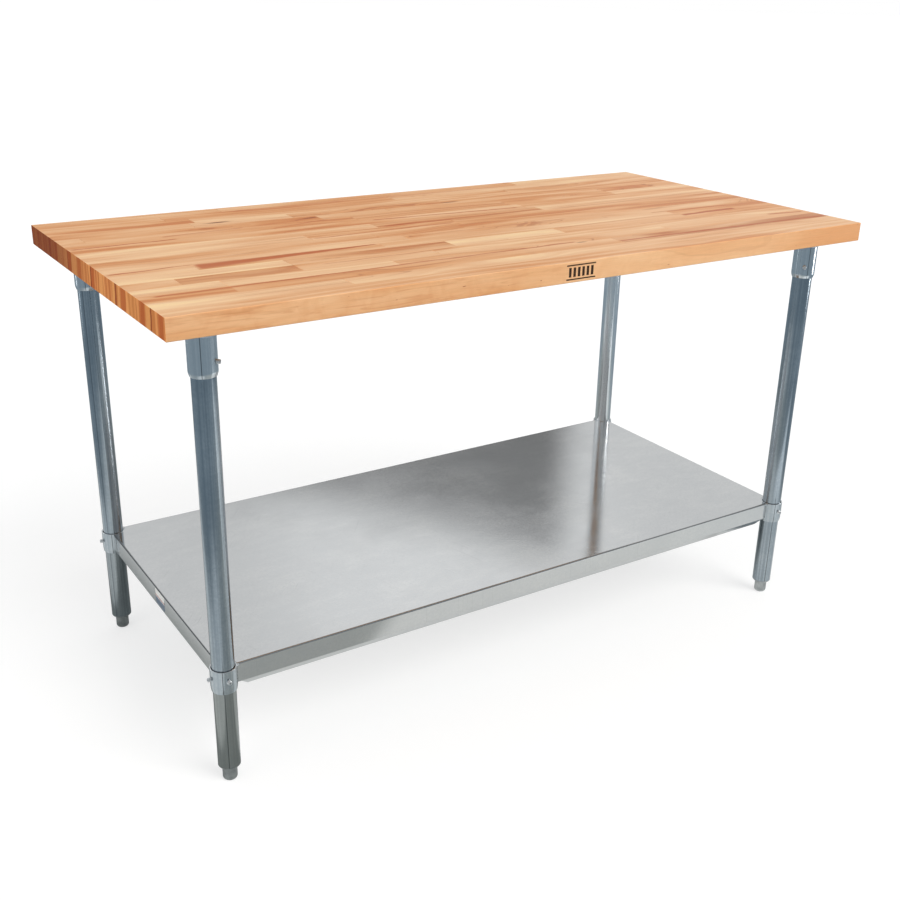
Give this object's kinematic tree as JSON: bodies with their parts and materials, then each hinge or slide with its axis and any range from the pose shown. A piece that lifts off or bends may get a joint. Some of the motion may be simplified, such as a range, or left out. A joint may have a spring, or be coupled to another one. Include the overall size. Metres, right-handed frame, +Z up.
{
  "type": "butcher block work table",
  "caption": "Rectangular work table with a thick glued maple top on tubular galvanized steel legs, an adjustable sheet-steel undershelf and levelling feet.",
  "frame": {"origin": "on the floor under the centre of the top", "axes": "+X along the length, +Y towards the back, +Z up"},
  "size_m": [1.524, 0.762, 0.8953],
  "materials": {
    "maple": "oiled, satin",
    "galvanized": "galvanized, semi-gloss",
    "shelf_sheet": "galvanized sheet with fine spangle",
    "zinc_cast": "matte grey zinc",
    "screw_steel": "zinc plated",
    "label_paper": "plain sticker"
  },
  "bodies": {
    "root": {"top_stave_01": "maple", "top_stave_02": "maple", "top_stave_03": "maple", "top_stave_04": "maple", "top_stave_05": "maple", "top_stave_06": "maple", "top_stave_07": "maple", "top_stave_08": "maple", "top_stave_09": "maple", "top_stave_10": "maple", "top_stave_11": "maple", "top_stave_12": "maple", "top_stave_13": "maple", "top_stave_14": "maple", "top_stave_15": "maple", "top_stave_16": "maple", "top_stave_17": "maple", "top_stave_18": "maple", "mounting_channel_left": "galvanized", "mounting_channel_right": "galvanized", "channel_wood_screws": "screw_steel", "leg_socket_front_left": "galvanized", "leg_socket_front_right": "galvanized", "leg_socket_back_left": "galvanized", "leg_socket_back_right": "galvanized", "socket_set_screws": "screw_steel", "leg_front_left": "galvanized", "leg_front_right": "galvanized", "leg_back_left": "galvanized", "leg_back_right": "galvanized", "foot_insert_front_left": "zinc_cast", "foot_insert_front_right": "zinc_cast", "foot_insert_back_left": "zinc_cast", "foot_insert_back_right": "zinc_cast"},
    "shelf": {"shelf_deck": "shelf_sheet", "shelf_stiffener": "galvanized", "shelf_collar_front_left": "galvanized", "shelf_collar_front_right": "galvanized", "shelf_collar_back_left": "galvanized", "shelf_collar_back_right": "galvanized", "shelf_set_screws": "screw_steel", "shelf_label": "label_paper"},
    "foot_front_left": {"foot_front_left": "zinc_cast", "foot_stud_front_left": "screw_steel"},
    "foot_front_right": {"foot_front_right": "zinc_cast", "foot_stud_front_right": "screw_steel"},
    "foot_back_left": {"foot_back_left": "zinc_cast", "foot_stud_back_left": "screw_steel"},
    "foot_back_right": {"foot_back_right": "zinc_cast", "foot_stud_back_right": "screw_steel"}
  },
  "joints": [
    {"name": "shelf_height", "type": "slide", "parent": "root", "child": "shelf", "axis": [0, 0, 1], "range_m": [-0.15, 0.53]},
    {"name": "foot_screw_front_left", "type": "slide", "parent": "root", "child": "foot_front_left", "axis": [0, 0, -1], "range_m": [0, 0.025]},
    {"name": "foot_screw_front_right", "type": "slide", "parent": "root", "child": "foot_front_right", "axis": [0, 0, -1], "range_m": [0, 0.025]},
    {"name": "foot_screw_back_left", "type": "slide", "parent": "root", "child": "foot_back_left", "axis": [0, 0, -1], "range_m": [0, 0.025]},
    {"name": "foot_screw_back_right", "type": "slide", "parent": "root", "child": "foot_back_right", "axis": [0, 0, -1], "range_m": [0, 0.025]}
  ]
}
